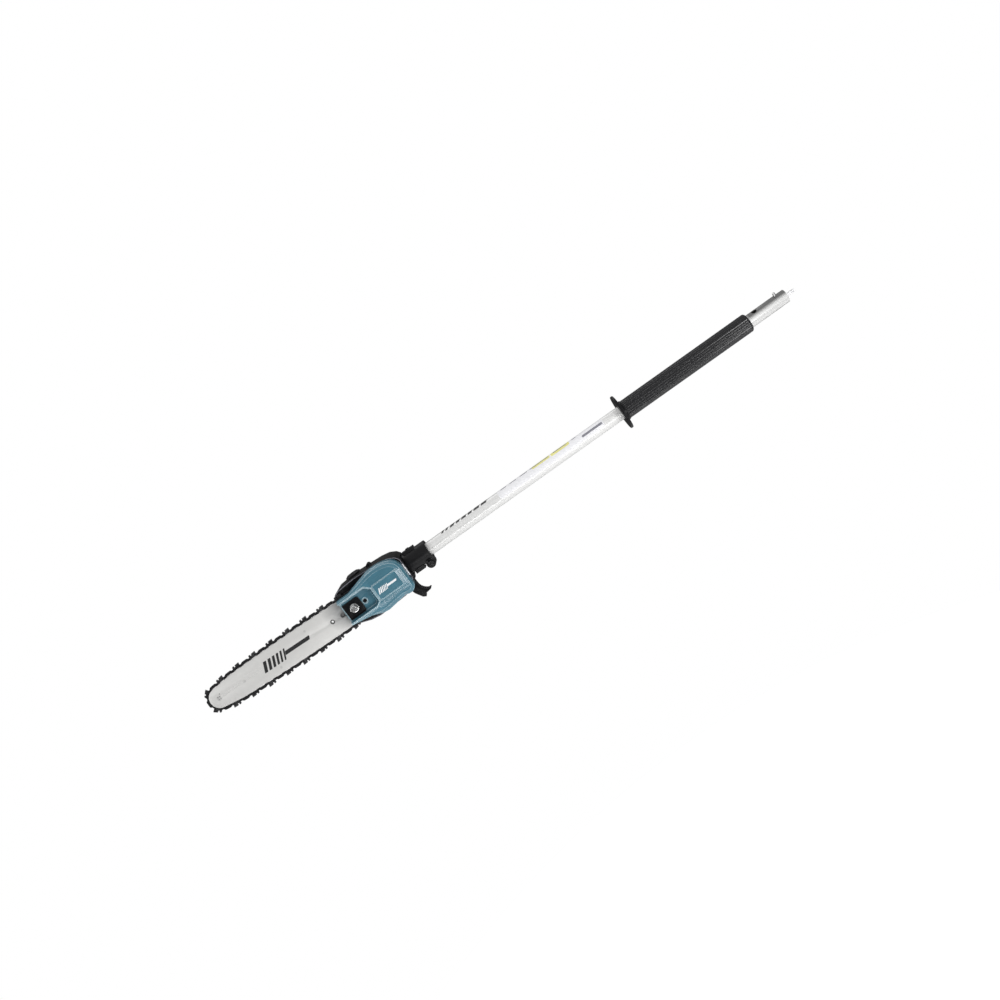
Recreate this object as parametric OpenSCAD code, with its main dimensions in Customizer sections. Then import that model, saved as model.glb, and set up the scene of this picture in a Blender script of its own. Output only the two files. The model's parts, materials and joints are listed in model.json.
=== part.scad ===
// Pole saw head on a fixed aluminium pole, with a quick-coupling end.
// +X runs along the pole to the operator, +Z is up, and the sprocket cover faces -Y.
// The origin is the centre of the pole's coupling end.

/* [Pole] */
// Outside diameter of the pole
pole_d = 25; // [24.8:0.1:25.2]
// Wall thickness of the pole
pole_wall = 2; // [1.6:0.1:2.2]
// Diameter of the turned lead-in at the coupling end
spigot_d = 24.6; // [24:0.1:24.6]
// Diameter of the drive shaft
shaft_d = 8; // [7:0.5:8]

/* [Grip] */
// Outside diameter of the grip sleeve
grip_d = 35.4; // [33:0.2:36]
// Diameter of the hand guard disc
flange_d = 67; // [55:1:70]
// Number of flutes round the grip
flutes = 24; // [16:1:28]

/* [Bar and chain] */
// Tilt of the guide bar to the pole
bar_tilt = 1.42; // [1.3:0.02:1.5]
// Radius of the bar's nose
nose_r = 19; // [18.8:0.1:19.2]
// Half width of the bar at its widest
belly_h = 26.8; // [26.6:0.1:27]
// Thickness of the whole bar
bar_t = 4; // [3.8:0.1:4.2]
// Gauge of the drive links
gauge = 1.3; // [1.1:0.05:1.35]
// Number of drive links in the chain
drive_link_count = 46; // [46]

/* [Gears] */
// Teeth on the pinion
pinion_teeth = 14; // [14]
// Teeth on the bevel gear
gear_teeth = 18; // [18]
// Module of the bevel gears
gear_module = 1.5; // [1.4:0.05:1.5]

/* [Cover] */
// Distance of the cover's front face from the pole axis
cover_front = 52; // [50:1:54]
// Wall thickness of the plastic covers
cover_wall = 2.5; // [2:0.1:3]

/* [Hidden] */
$fn = 64;

black = [0.10, 0.10, 0.11];
teal = [0.24, 0.49, 0.57];
steel = [0.72, 0.73, 0.74];
eps = 0.01;
run_fit = 0.05;

// Places along the pole
pole_r = pole_d / 2;
pole_bore = pole_r - pole_wall;
pole_start = -812;
spigot_len = 15;
peg_x = -18;
peg_r = 2.5;
peg_top = 20;
lock_x = -62;
lock_r = 5;
clock = 28;
grip_x0 = -341;
grip_x1 = -78;
flange_x = -351;
flange_t = 5;
hub_d = 38;
label_x0 = -612;
label_x1 = -386;
shaft_r = shaft_d / 2;
square_end = 5.4;
square_len = 17;

// The gear head
head_x = -868;
collar_r = 19;
collar_x0 = -822;
collar_x1 = -771;
ear_x = -781;
ear_z = -21.5;
ear_r = 9;
pinion_r = gear_module * pinion_teeth / 2;
gear_r = gear_module * gear_teeth / 2;
gear_face = 6;
bearing_w = 8;
bearing_bore = 6;
bearing_rim = 14;
output_r = 6;
chamber_r = 23;
case_r = 28;
seal_r = 8;
case_front = -22;
seal_front = -24;
case_back = 21.5;
case_bolt_ring = 25.4;
pad_y = -29;
bar_y = -32;

// The bar, drawn in its own frame with the nose centre at the origin
nose_x = -1232.5;
nose_z = 4;
pitch_h = 3.4;
pitch_r = 18;
belly_r = 4200;
belly_x = 195;
shoulder_x = 40;
tail_x = 270;
groove = 6;
stud_x = -934;
stud_z = -3.4;
stud_r = 4;
stud_end = -18.5;
screw_x = -912;
screw_z = -3.9;
pin_x = -942;
pin_z = 9;
pin_r = 2.6;
slot_w = 8.6;
slot_x0 = -966;

function dist(a, b) = norm([b[0] - a[0], b[1] - a[1]]);
function clamp1(v) = max(-1, min(1, v));
function at_angle(c, r, a) = [c[0] + r * cos(a), c[1] + r * sin(a)];

// Radius of a circle at x that just touches the long belly arc from inside
function inner_r(x) = belly_r - dist([belly_x, belly_h - belly_r], [x, 0]);

// Sprocket axis seen in the bar's frame
sprocket_at = in_bar(head_x, 0);

// Circles that a band round the bar touches in turn, clockwise from the nose: centre and radius
band = [
    [[0, 0], nose_r],
    [[shoulder_x, 0], inner_r(shoulder_x)],
    [[belly_x, belly_h - belly_r], belly_r],
    [[tail_x, 0], inner_r(tail_x)],
    [sprocket_at, pitch_r - pitch_h],
    [[tail_x, 0], inner_r(tail_x)],
    [[belly_x, belly_r - belly_h], belly_r],
    [[shoulder_x, 0], inner_r(shoulder_x)]
];

// Angle of the outward normal of the tangent from one circle to the next
function tangent(a, b) =
    atan2(b[0][1] - a[0][1], b[0][0] - a[0][0])
    + acos(clamp1((a[1] - b[1]) / dist(a[0], b[0])));
function wrap(a) = a - 360 * floor(a / 360);

// Points of the band, standing h outside it
function band_points(b, h) = [
    for (i = [0:len(b) - 1])
        let (
            last = b[(i + len(b) - 1) % len(b)],
            next = b[(i + 1) % len(b)],
            a0 = tangent(last, b[i]),
            sweep = wrap(a0 - tangent(b[i], next)),
            turn = sweep > 359.9 ? 0 : sweep,
            steps = max(1, ceil(turn / 6), ceil(turn * b[i][1] / 1200))
        )
        for (k = [0:steps]) at_angle(b[i][0], b[i][1] + h, a0 - turn * k / steps)
];

// The chain's pitch line, as a table of distance against place
pitch_path = band_points(band, pitch_h);
function run_length(p, i = 0, sum = 0, out = []) =
    i == len(p) ? concat(out, [sum])
    : run_length(p, i + 1, sum + dist(p[i], p[(i + 1) % len(p)]), concat(out, [sum]));
distances = run_length(pitch_path);
path_length = distances[len(pitch_path)];
closed_path = concat(pitch_path, [pitch_path[0]]);
table_x = [for (i = [0:len(closed_path) - 1]) [distances[i], closed_path[i][0]]];
table_z = [for (i = [0:len(closed_path) - 1]) [distances[i], closed_path[i][1]]];
pin_count = 2 * drive_link_count;
chain_pitch = path_length / pin_count;
function pin_at(k) =
    let (s = (k % pin_count) * chain_pitch) [lookup(s, table_x), lookup(s, table_z)];

// The bar's own outline ends in a rounded tail before the sprocket
tail_end = 331;
tail_r = 11;
bar_band = [
    band[0], band[1], band[2], band[3],
    [[tail_end - tail_r, 8], tail_r], [[tail_end - tail_r, -4], tail_r],
    band[5], band[6], band[7]
];

// A point's place in the bar's own frame
function in_bar(x, z) = [
    (x - nose_x) * cos(bar_tilt) - (z - nose_z) * sin(bar_tilt),
    (x - nose_x) * sin(bar_tilt) + (z - nose_z) * cos(bar_tilt)
];

// Extrudes an outline in X and Z from y0 to y1
module slab(y0, y1) {
    translate([0, y1, 0]) rotate([90, 0, 0]) linear_extrude(y1 - y0) children();
}

// A cylinder along Y at x and z
module rod_y(x, z, r, y0, y1) {
    translate([x, y1, z]) rotate([90, 0, 0]) cylinder(r = r, h = y1 - y0);
}

// A cylinder along X
module rod_x(r, x0, x1) {
    translate([x0, 0, 0]) rotate([0, 90, 0]) cylinder(r = r, h = x1 - x0);
}

module ring_x(outer, inner, x0, x1) {
    difference() {
        rod_x(outer, x0, x1);
        rod_x(inner, x0 - 1, x1 + 1);
    }
}

module ring_y(x, z, outer, inner, y0, y1) {
    difference() {
        rod_y(x, z, outer, y0, y1);
        rod_y(x, z, inner, y0 - 1, y1 + 1);
    }
}

module box_at(x0, x1, y0, y1, z0, z1) {
    translate([x0, y0, z0]) cube([x1 - x0, y1 - y0, z1 - z0]);
}

module rounded(r) {
    offset(r = r) offset(delta = -r) children();
}

module in_bar_frame() {
    translate([nose_x, bar_y, nose_z]) rotate([0, bar_tilt, 0]) children();
}

// Points out of the pole's surface at the clocked angle
module clocked(x) {
    translate([x, 0, 0]) rotate([clock, 0, 0]) children();
}

// A screw along Y with its head at y1 and a hex socket
module screw_y(x, z, r, head_r, y0, y1, head_h) {
    difference() {
        union() {
            rod_y(x, z, r, y0, y1 - head_h);
            rod_y(x, z, head_r, y1 - head_h, y1);
        }
        translate([x, y1 + eps, z]) rotate([90, 0, 0]) cylinder(r = r * 0.7, h = head_h * 0.6, $fn = 6);
    }
}

// ---------------------------------------------------------------- pole

module pole_tube() {
    color("gainsboro") difference() {
        union() {
            rod_x(pole_r, pole_start, -spigot_len);
            rod_x(spigot_d / 2, -spigot_len - eps, 0);
        }
        rod_x(pole_bore, pole_start - 1, 1);
        clocked(lock_x) cylinder(r = lock_r, h = 30);
        clocked(peg_x) cylinder(r = peg_r - 0.5, h = 30);
        translate([-803, 0, 0]) cylinder(r = 2, h = 30);
    }
}

module pole_label() {
    label_t = 0.15;
    color("white") translate([label_x0, 0, 0]) rotate([0, 90, 0]) rotate([0, 0, 110])
        rotate_extrude(angle = 130)
            translate([pole_r, 0]) square([label_t, label_x1 - label_x0]);
}

module hand_grip() {
    grip_r = grip_d / 2;
    round_r = 4;
    color(black) intersection() {
        translate([grip_x0, 0, 0]) rotate([0, 90, 0]) linear_extrude(grip_x1 - grip_x0) difference() {
            circle(r = grip_r);
            circle(r = pole_r);
            for (i = [0:flutes - 1]) rotate(i * 360 / flutes) translate([grip_r + 0.3, 0]) circle(r = 1.2);
        }
        translate([grip_x0, 0, 0]) rotate([0, 90, 0]) rotate_extrude() polygon(concat(
            [[0, -1], [grip_r + 1, -1]],
            [for (a = [0:15:90]) at_angle([grip_r - round_r, grip_x1 - grip_x0 - round_r], round_r, a)],
            [[0, grip_x1 - grip_x0]]
        ));
    }
}

module grip_flange() {
    color(black) difference() {
        union() {
            rod_x(flange_d / 2, flange_x, flange_x + flange_t);
            rod_x(hub_d / 2, flange_x, grip_x0);
        }
        rod_x(pole_r, flange_x - 1, grip_x0 + 1);
    }
}

module drive_shaft() {
    color(steel) {
        rod_x(shaft_r, head_x + 44, 0);
        box_at(-eps, square_len, -square_end / 2, square_end / 2, -square_end / 2, square_end / 2);
    }
}

module shaft_bushes() {
    color("white") for (x = [-760, -590, -420, -250, -110, -36])
        ring_x(pole_bore, shaft_r + run_fit, x, x + 14);
}

module locating_peg() {
    color(steel) clocked(peg_x) {
        translate([0, 0, pole_bore - 1]) cylinder(r = peg_r - 0.5, h = pole_r - pole_bore + 1);
        translate([0, 0, pole_r]) cylinder(r = peg_r, h = peg_top - pole_r);
    }
}

// ---------------------------------------------------------------- gear head

module neck_outline() {
    rod_x(collar_r, collar_x0, collar_x1);
    translate([head_x + 18, 0, 0]) rotate([0, 90, 0])
        cylinder(r1 = 21, r2 = collar_r - 0.5, h = collar_x0 - head_x - 17);
    box_at(-815, -791, -8, 8, 0, 22.5);
    box_at(-814, -794, -8.2, 8.2, -23.5, 0);
    rod_y(ear_x, ear_z, ear_r, -13, 13);
    box_at(ear_x - ear_r + 0.4, ear_x + ear_r - 0.4, -13, 13, ear_z, -8);
}

module pad_outline() {
    polygon([
        [-950, -24], [-950, 19], [-905, 19], [-896, 14], [-891, 10], [-891, -4.5], [-896, -4.5],
        [-896, -24]
    ]);
}

module pad() {
    pad_back = -21.5;
    slab(pad_y, pad_back) pad_outline();
    box_at(-926, -921.5, pad_back - 1, -8, -9, 4);
    box_at(-952, -948, pad_back - 4, -8, -9, 4);
}

// Children at each bolt of the case cover
module at_case_bolts() {
    for (a = [45:90:315]) translate([case_bolt_ring * cos(a), 0, case_bolt_ring * sin(a)]) children();
}

module gear_case() {
    color(black) difference() {
        union() {
            rod_y(head_x, 0, case_r, seal_front, case_back);
            neck_outline();
            pad();
        }
        // bevel chamber, open to the cover at the back
        rod_y(head_x, 0, chamber_r, case_front + bearing_w, case_back + 1);
        // seats of the near bearing and the seal
        rod_y(head_x, 0, bearing_rim, case_front, case_front + bearing_w + 1);
        rod_y(head_x, 0, seal_r, seal_front - 1, case_front + 1);
        // pocket of the oil pump
        box_at(-895.9, -862, seal_front - 5, case_front - 0.1, -14.2, -4.8);
        at_case_bolts() rod_y(head_x, 0, 1.6, 10, 40);
        // bore of the neck
        rod_x(bearing_rim, head_x + 10, -816);
        rod_x(pole_r, pole_start, collar_x1 + 1);
        rod_x(10, head_x + 12, pole_start + 1);
        // clamp slit and bolt
        box_at(-795, collar_x1 + 1, -1.5, 1.5, -40, -5);
        rod_y(ear_x, ear_z, 3.1, -20, 20);
        // screw down into the pole
        translate([-803, 0, 5]) cylinder(r = 2, h = 30);
        // tension mechanism
        rod_y(screw_x, screw_z, 3.05, -40, 0);
        translate([0, spindle_y, screw_z]) rod_x(2.55, -960, -900);
        box_at(pin_x - 4, pin_x + 10, -40, -10, pin_z - 3.2, pin_z + 3.2);
        rod_y(stud_x, stud_z, 3.5, -40, 0);
    }
}

module gear_case_cover() {
    flange_y = housing_back;
    color(black) difference() {
        union() {
            rod_y(head_x, 0, case_r, flange_y, flange_y + 4);
            rod_y(head_x, 0, 17, case_back - 6, flange_y + 5);
        }
        rod_y(head_x, 0, bearing_rim, case_back - 7, output_bearing_y[1] + bearing_w);
        at_case_bolts() rod_y(head_x, 0, 1.6, 0, 40);
    }
}

module case_cover_bolts() {
    color(steel) at_case_bolts() screw_y(head_x, 0, 1.6, 2.6, 12, housing_back + 7, 3);
}

module clamp_bolt() {
    color(steel) {
        screw_y(ear_x, ear_z, 3, 5, -17, 18, 5);
        ring_y_hex(ear_x, ear_z, 5.8, 3 + run_fit, -17.5, -13);
    }
}

// A hex nut along Y
module ring_y_hex(x, z, corner_r, bore, y0, y1) {
    difference() {
        translate([x, y1, z]) rotate([90, 0, 0]) cylinder(r = corner_r, h = y1 - y0, $fn = 6);
        rod_y(x, z, bore, y0 - 1, y1 + 1);
    }
}

module locating_screw() {
    color(steel) translate([-803, 0, 0]) difference() {
        union() {
            translate([0, 0, pole_bore]) cylinder(r = 2, h = 22.5 - pole_bore);
            translate([0, 0, 22.5]) cylinder(r = 3.6, h = 2);
        }
        translate([0, 0, 23.3]) cylinder(r = 1.5, h = 2, $fn = 6);
    }
}

// One gear outline: trapezoid teeth with backlash, the first on the X axis
module gear_outline(n, r, addendum, dedendum) {
    step = 360 / n;
    polygon([
        for (i = [0:n - 1]) each [
            at_angle([0, 0], r - dedendum, (i - 0.27) * step),
            at_angle([0, 0], r, (i - 0.19) * step),
            at_angle([0, 0], r + addendum, (i - 0.11) * step),
            at_angle([0, 0], r + addendum, (i + 0.11) * step),
            at_angle([0, 0], r, (i + 0.19) * step),
            at_angle([0, 0], r - dedendum, (i + 0.27) * step)
        ]
    ]);
}

// A straight bevel gear with its cone's apex at the origin and its axis along +Z
module bevel(n, mate_n, m, face, phase) {
    r = m * n / 2;
    apex = m * mate_n / 2;
    translate([0, 0, apex]) mirror([0, 0, 1])
        linear_extrude(face, scale = (apex - face) / apex)
            rotate(phase) gear_outline(n, r, 0.5 * m, 0.85 * m);
}

module pinion() {
    color(steel) translate([head_x, 0, 0]) rotate([0, 90, 0]) {
        bevel(pinion_teeth, gear_teeth, gear_module, gear_face, 90);
        translate([0, 0, gear_r - eps]) cylinder(r = 8.5, h = 4);
        translate([0, 0, gear_r + 3]) cylinder(r = bearing_bore, h = 26);
    }
}

module pinion_circlip() {
    color(steel) ring_x(bearing_rim, 11.5, head_x + 34, head_x + 35.5);
}

// Ball bearings stand in pairs: on the pinion's spindle and on the output shaft
pinion_bearing_x = [head_x + 17.7, head_x + 26];
output_bearing_y = [case_front, case_back - 4.5];
ball_circle = 10;
ball_r = 2.2;
ball_gap = 0.05;

module bearing_ring(inner_part) {
    half_gap = 1.2;
    r0 = inner_part ? bearing_bore : ball_circle + half_gap;
    r1 = inner_part ? ball_circle - half_gap : bearing_rim;
    rotate_extrude() difference() {
        translate([r0, 0]) square([r1 - r0, bearing_w]);
        translate([ball_circle, bearing_w / 2]) circle(r = ball_r + ball_gap);
    }
}

module bearing_balls() {
    for (a = [0:45:315]) rotate(a) translate([ball_circle, 0, bearing_w / 2]) sphere(r = ball_r);
}

module on_pinion_axis() {
    for (x = pinion_bearing_x) translate([x, 0, 0]) rotate([0, 90, 0]) children();
}

module on_output_axis() {
    for (y = output_bearing_y) translate([head_x, y, 0]) rotate([-90, 0, 0]) children();
}

module pinion_bearing_outers() {
    color(steel) on_pinion_axis() bearing_ring(false);
}

module pinion_bearing_inners() {
    color(steel) on_pinion_axis() bearing_ring(true);
}

module pinion_bearing_balls() {
    color(steel) on_pinion_axis() bearing_balls();
}

module output_bearing_outers() {
    color(steel) on_output_axis() bearing_ring(false);
}

module output_bearing_inners() {
    color(steel) on_output_axis() bearing_ring(true);
}

module output_bearing_balls() {
    color(steel) on_output_axis() bearing_balls();
}

module output_shaft() {
    color(steel) rod_y(head_x, 0, output_r, -41, case_back + 3.4);
}

module bevel_gear() {
    color(steel) translate([head_x, 0, 0]) rotate([-90, 0, 0]) difference() {
        union() {
            bevel(gear_teeth, pinion_teeth, gear_module, gear_face, 180 / gear_teeth);
            translate([0, 0, pinion_r - eps]) cylinder(r = 11, h = 4);
        }
        cylinder(r = output_r, h = 60, center = true);
    }
}

module output_seal() {
    color("dimgray") ring_y(head_x, 0, seal_r, output_r + run_fit, seal_front, case_front);
}

module drive_sprocket() {
    rim_r = 14.2;
    core_r = 9.9;
    half_slot = 0.9;
    half_rim = 2.9;
    color(steel) difference() {
        union() {
            rod_y(head_x, 0, core_r, bar_y - 5, bar_y + half_rim);
            rod_y(head_x, 0, rim_r, bar_y - half_rim, bar_y - half_slot);
            rod_y(head_x, 0, rim_r, bar_y + half_slot, bar_y + half_rim);
        }
        for (a = [0:60:300]) rod_y(head_x + 12.6 * cos(a), 12.6 * sin(a), 1.9, bar_y - 6, bar_y + 6);
        rod_y(head_x, 0, output_r, -60, 0);
    }
}

module sprocket_clip() {
    color(steel) ring_y(head_x, 0, 9, output_r, bar_y - 6.5, bar_y - 5);
}

// ---------------------------------------------------------------- oil pump and tank

worm_r = 7;
plunger_r = 2.2;
plunger_shaft_r = 1.6;
plunger_y = -26.6;
plunger_z = -(worm_r + plunger_r + 0.3);
pump_x0 = -895.5;
pump_x1 = -883;

module on_plunger_axis() {
    translate([0, plunger_y, plunger_z]) children();
}

module pump_worm() {
    color("tan") ring_y(head_x, 0, worm_r, output_r, bar_y + 2.9, seal_front - 0.1);
}

module pump_body() {
    color("silver") difference() {
        union() {
            box_at(pump_x0, pump_x1, plunger_y, case_front - 0.2, plunger_z - 4, plunger_z + 4);
            on_plunger_axis() rod_x(3, pump_x0, pump_x1);
        }
        on_plunger_axis() rod_x(plunger_shaft_r + run_fit, pump_x0 + 2, pump_x1 + 1);
    }
}

module pump_plunger() {
    tooth = 0.5;
    color(steel) {
        on_plunger_axis() rod_x(plunger_shaft_r, pump_x0 + 2.5, -864);
        on_plunger_axis() translate([-873, 0, 0]) rotate([0, 90, 0])
            linear_extrude(9) gear_outline(12, plunger_r - tooth, tooth, 0.3);
    }
}

housing_front = -26.5;
housing_back = 24;
tank_x = -911;
tank_y = 5;
neck_r = 11;
neck_top = 39;
seal_h = 2.2;
cap_r = 15;
cap_z = neck_top + seal_h;
plug_len = 9.2;
pickup_x = -905;
pickup_z = -14;

module oil_tank() {
    module outline(inset) {
        offset(delta = -inset) polygon([
            [-952, -22], [-952, 29.5], [-940, 34.8], [-899, 35.3], [-899, -24], [-915, -36], [-940, -31]
        ]);
    }
    color([0.85, 0.85, 0.8]) difference() {
        union() {
            slab(-6, 20) outline(0);
            translate([tank_x, tank_y, 34]) cylinder(r = neck_r, h = neck_top - 34);
        }
        slab(-4, 18) outline(2);
        translate([tank_x, tank_y, 30]) cylinder(r = neck_r - 2, h = 20);
        rod_y(pickup_x, pickup_z, 1.5, -10, 0);
    }
}

module oil_cap() {
    color(black) translate([tank_x, tank_y, cap_z]) difference() {
        union() {
            cylinder(r = cap_r, h = 1.6);
            translate([0, 0, 1.6 - eps]) cylinder(r1 = cap_r - 1.5, r2 = cap_r - 4, h = 2);
            translate([0, 0, -plug_len]) cylinder(r = 8.7, h = plug_len + 0.8);
        }
        for (a = [0:30:330]) rotate(a) translate([cap_r, 0, -5]) cylinder(r = 1, h = 12);
        translate([0, 0, -plug_len - 1]) cylinder(r = 6.5, h = plug_len - 0.2);
    }
}

module cap_seal() {
    color("dimgray") translate([tank_x, tank_y, neck_top]) difference() {
        cylinder(r = neck_r, h = seal_h);
        translate([0, 0, -1]) cylinder(r = 8.8, h = 5);
    }
}

module oil_pickup() {
    color("ivory") rod_y(pickup_x, pickup_z, 4, 2, 14);
}

module oil_hose() {
    color("dimgray") {
        rod_y(pickup_x, pickup_z, 1.5, -14, 2);
        translate([pickup_x, -14, pickup_z]) sphere(r = 1.5);
    }
}

// Outline of the black housing, seen from the cover side
module housing_outline() {
    rounded(8) polygon([
        [-958, 23], [-954, 33], [-944, 37.5], [-925, 39], [-905, 39.9], [-878, 38.6], [-852, 37],
        [-836, 34], [-825, 28], [-819, 20], [-819, -20], [-824, -30], [-833, -38], [-850, -41],
        [-889, -43.3], [-907, -44.2], [-926, -41.3], [-947, -34], [-956, -24]
    ]);
}

// Posts behind the chain plate, each with the way its rib runs to the wall
boss_at = [[-938, 33.6, 1], [-846, 27, 1], [-900, -36.5, -1]];
boss_r = 3.6;
screw_r = 1.5;
screw_head_r = 3;
knob_x = -876.5;
knob_z = 39.8;
knob_r = 4.4;

module rear_housing() {
    color(black) difference() {
        union() {
            difference() {
                slab(housing_front, housing_back) housing_outline();
                slab(housing_front - 1, housing_back - cover_wall)
                    offset(delta = -cover_wall) housing_outline();
            }
            for (p = boss_at) {
                rod_y(p[0], p[1], boss_r, housing_front, -10);
                slab(housing_front, -10) intersection() {
                    housing_outline();
                    translate([p[0] - 2, p[2] > 0 ? p[1] : p[1] - 20]) square([4, 20]);
                }
            }
            rod_y(knob_x, knob_z, knob_r, -9, 7);
        }
        rod_y(head_x, 0, 17.2, 0, 40);
        at_case_bolts() rod_y(head_x, 0, 1.7, 0, 40);
        translate([tank_x, tank_y, 30]) cylinder(r = neck_r + 0.3, h = 30);
        for (p = boss_at) rod_y(p[0], p[1], screw_r, -40, -16);
        // the gear case's neck and the hook's root pass out here
        rod_x(collar_r + 3, -822, -800);
        box_at(-842, -820, -12, 7, -60, -24);
    }
}

module chain_plate() {
    color(black) difference() {
        slab(pad_y + 0.5, housing_front) offset(delta = -0.8) housing_outline();
        slab(pad_y - 1, 0) offset(delta = 0.3) pad_outline();
        rod_y(head_x, 0, 16, -40, 0);
        box_at(-897, -856, -40, 0, -16, -4);
        rod_x(collar_r + 3, -822, -800);
        box_at(-842, -820, -40, 6, -60, -24);
        for (p = boss_at) {
            rod_y(p[0], p[1], screw_r, -40, 0);
            rod_y(p[0], p[1], screw_head_r, -40, head_seat);
        }
    }
}

// Short screws through the chain plate, their heads sunk into it from the cover side
head_front = pad_y + 0.3;
head_seat = head_front + 1.2;

module plate_screws() {
    color(steel) for (p = boss_at) difference() {
        union() {
            rod_y(p[0], p[1], screw_r, head_front, -18);
            rod_y(p[0], p[1], screw_head_r, head_front, head_seat);
        }
        translate([p[0], head_front + 0.7, p[1]]) rotate([90, 0, 0]) cylinder(r = 1.2, h = 2, $fn = 6);
    }
}

module branch_hook() {
    color(black) difference() {
        slab(-10, 4) rounded(1) polygon(concat(
            [[-824.3, -24], [-839.5, -24], [-839.5, -45], [-838, -50], [-830, -63.5], [-824, -67]],
            [[-821.5, -61.5], [-810, -60], [-805.5, -56.8]],
            [for (a = [245:-13:180]) at_angle([-803.5, -38], 20.5, a)],
            [[-824, -30]]
        ));
        rod_y(-831, -30, 2, -20, 20);
    }
}

module hook_screw() {
    color(steel) screw_y(-831, -30, 2, 3.6, -10, 6.4, 2.4);
}

// ---------------------------------------------------------------- bar and chain

module bar_outline(inset) {
    polygon(band_points(bar_band, -inset));
}

// The slot and holes that pass through every layer of the bar, in the bar's frame
slot_start = slot_x0 - nose_x + slot_w / 2;
slot_end = 320.7;

module bar_holes() {
    translate([slot_start, 0]) circle(d = slot_w);
    translate([slot_start, -slot_w / 2]) square([slot_end - slot_start, slot_w]);
    translate([slot_end, 0]) circle(d = slot_w);
    translate(in_bar(pin_x, pin_z)) circle(r = pin_r + 0.1);
    translate([-983 - nose_x, 0]) circle(r = 2.2);
}

nose_hub = 5;
nose_clear = 15.4;

core_half = gauge / 2 + 0.1;
side_t = bar_t / 2 - core_half;
rivet_ring = 3;
nose_rivet_r = 0.9;

module bar_side_plates() {
    color("gainsboro") in_bar_frame() for (y0 = [-bar_t / 2, core_half]) slab(y0, y0 + side_t) difference() {
        bar_outline(0);
        bar_holes();
        for (a = [45:90:315]) rotate(a) translate([rivet_ring, 0]) circle(r = nose_rivet_r);
    }
}

module bar_core() {
    color("gray") in_bar_frame() slab(-core_half, core_half) difference() {
        bar_outline(groove);
        bar_holes();
        // the nose is open for its sprocket, and the slot runs out of the tail
        circle(r = nose_clear);
        translate([-30, -30]) square([30, 60]);
        translate([slot_end, -slot_w / 2]) square([tail_r, slot_w]);
    }
}

module nose_sprocket() {
    color(steel) in_bar_frame() slab(-gauge / 2, gauge / 2) difference() {
        rotate(9) gear_outline(9, 12.6, 2, 3);
        circle(r = nose_hub + run_fit);
    }
}

module at_nose_rivets() {
    for (a = [45:90:315]) translate([rivet_ring * cos(a), 0, rivet_ring * sin(a)]) children();
}

module nose_rivets() {
    reach = bar_t / 2 + 0.15;
    color(steel) in_bar_frame() {
        difference() {
            rod_y(0, 0, nose_hub, -core_half, core_half);
            at_nose_rivets() rod_y(0, 0, nose_rivet_r, -5, 5);
        }
        at_nose_rivets() rod_y(0, 0, nose_rivet_r, -reach, reach);
    }
}

rivet_r = 1.3;
strap_t = 1.1;
strap_end = 2.75;
strap_y = gauge / 2;

// Places children midway between chain pins k and k+1, the X axis along the link
module link_at(k) {
    p = pin_at(k);
    q = pin_at(k + 1);
    translate([(p[0] + q[0]) / 2, (p[1] + q[1]) / 2]) rotate(atan2(q[1] - p[1], q[0] - p[0])) children();
}
function half_span(k) = dist(pin_at(k), pin_at(k + 1)) / 2;

module pin_holes(half) {
    for (s = [-1, 1]) translate([s * half, 0]) circle(r = rivet_r, $fn = 24);
}

// The chain runs clockwise, so +Y of a link's outline points away from the bar
module drive_link_outline(half) {
    difference() {
        polygon([
            [-half - 2.9, -0.6], [-half - 2.2, 1.9], [-half, 2.8], [-1.2, 1.1], [1.2, 1.1], [half, 2.8],
            [half + 2.2, 1.9], [half + 2.9, -0.6], [half, -2.8], [1.4, -5.4], [-1.6, -6.7], [-3.2, -3.4],
            [-half, -2.8]
        ]);
        pin_holes(half);
    }
}

module strap_outline(half) {
    difference() {
        polygon([
            [-half - strap_end, 0], [-half - 1.9, 2.0], [-half, strap_end], [half, strap_end],
            [half + 1.9, 2.0], [half + strap_end, 0], [half + 1.9, -2.0], [half, -2.6], [-half, -2.6],
            [-half - 1.9, -2.0]
        ]);
        pin_holes(half);
    }
}

// Side of a cutter: depth gauge in front, tooth behind, both standing above the strap
module cutter_outline(half) {
    difference() {
        polygon([
            [-half - strap_end, 0], [-half - 2.4, 4.2], [-half - 0.8, 5.4], [-half + 1.2, 5.2],
            [-half + 1.8, 2.2], [-half + 3.6, 2.2], [-half + 4.2, 5.4], [half + 2.6, 6.2],
            [half + 3.2, 5.2], [half + strap_end, 0], [half + 1.9, -2.0], [half, -2.6],
            [-half, -2.6], [-half - 1.9, -2.0]
        ]);
        pin_holes(half);
    }
}

// Every second strap place carries a cutter, on alternate sides
function cutter_side(k) = k % 2 == 1 ? 0 : (k % 4 == 0 ? 1 : -1);

module strap_places(side, with_cutter) {
    for (k = [0:drive_link_count - 1])
        if ((cutter_side(k) == side) == with_cutter)
            translate([0, side > 0 ? -strap_y : strap_y + strap_t, 0])
                rotate([90, 0, 0]) linear_extrude(strap_t) link_at(2 * k + 1)
                    if (with_cutter) cutter_outline(half_span(2 * k + 1));
                    else strap_outline(half_span(2 * k + 1));
}

// The top plate of a cutter leans over the chain from its side
module top_plates(side) {
    for (k = [0:drive_link_count - 1]) if (cutter_side(k) == side) {
        half = half_span(2 * k + 1);
        near = side > 0 ? -3.1 : -0.5;
        translate([0, near + 3.6, 0]) rotate([90, 0, 0]) linear_extrude(3.6) link_at(2 * k + 1) polygon([
            [-half + 4.0, 4.6], [-half + 4.2, 5.4], [half + 2.6, 6.2], [half + 3.2, 5.2]
        ]);
    }
}

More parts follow.
